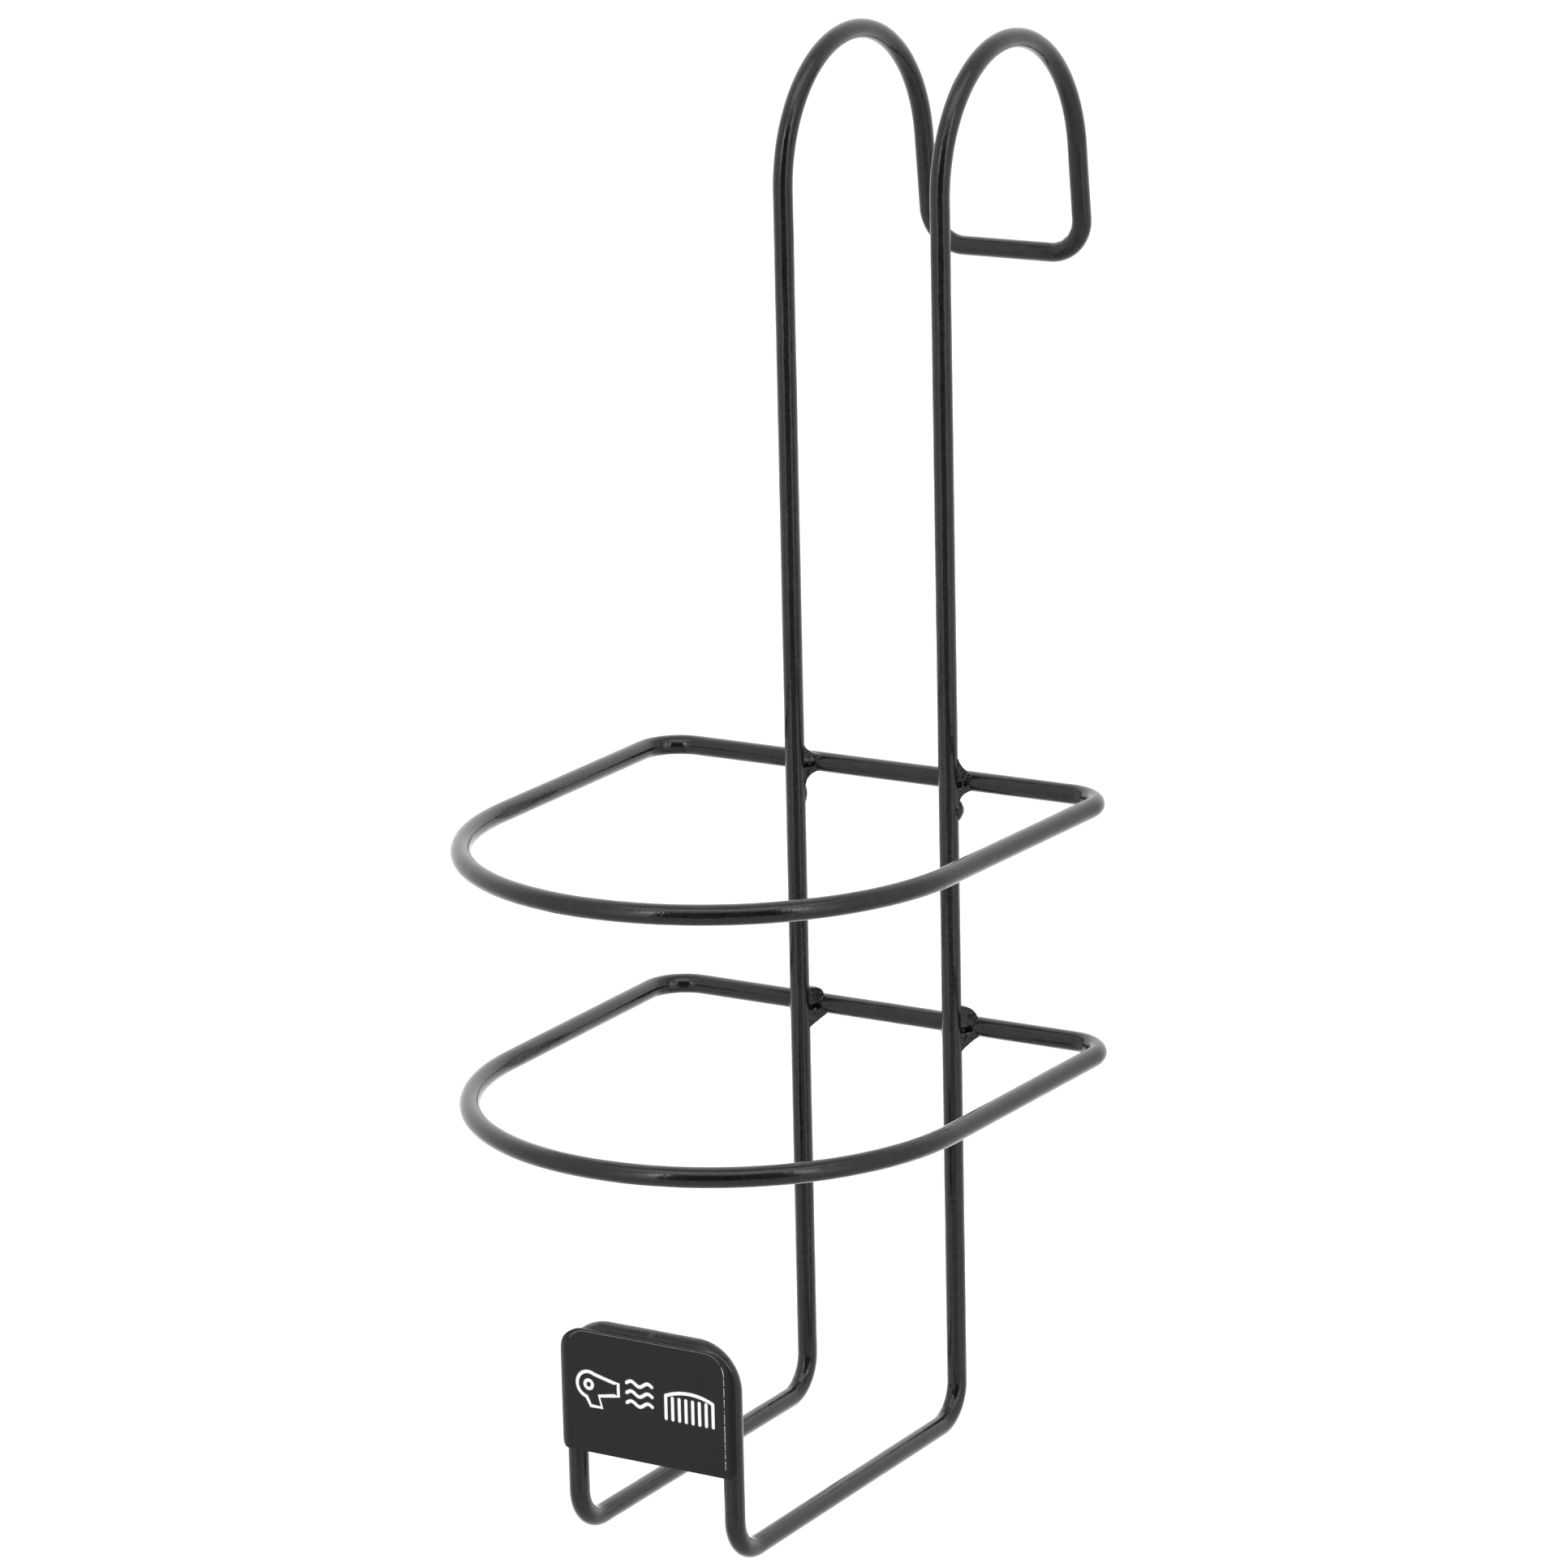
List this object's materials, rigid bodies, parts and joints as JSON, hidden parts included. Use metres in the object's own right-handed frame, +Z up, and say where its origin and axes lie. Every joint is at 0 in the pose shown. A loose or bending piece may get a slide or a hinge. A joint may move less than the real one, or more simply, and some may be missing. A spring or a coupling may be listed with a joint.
{
  "type": "hair dryer holder",
  "caption": "Over-door holder bent from coated steel wire: hooks at the top, D-shaped rings that guide a tool's body, and a cradle with a badge plate that carries its foot.",
  "frame": {"origin": "hook seat: midway between the hooks, where the inside top of the arches rests on a door's top edge", "axes": "+X across the holder, +Y through the door from the holder's side to its far side, +Z up; the rings and the badge plate face -Y"},
  "size_m": [0.1316, 0.209, 0.3462],
  "materials": {
    "coated_wire": "gloss",
    "coated_weld": "gloss",
    "coated_plate": "satin"
  },
  "bodies": {
    "root": {"side_wire_left": "coated_wire", "side_wire_right": "coated_wire", "upper_ring": "coated_wire", "lower_ring": "coated_wire", "weld_upper_ring_left": "coated_weld", "weld_upper_ring_right": "coated_weld", "weld_lower_ring_left": "coated_weld", "weld_lower_ring_right": "coated_weld", "tack_weld_top_left": "coated_weld", "tack_weld_top_right": "coated_weld", "tack_weld_bottom_left": "coated_weld", "tack_weld_bottom_right": "coated_weld", "badge_plate": "coated_plate"}
  },
  "joints": []
}
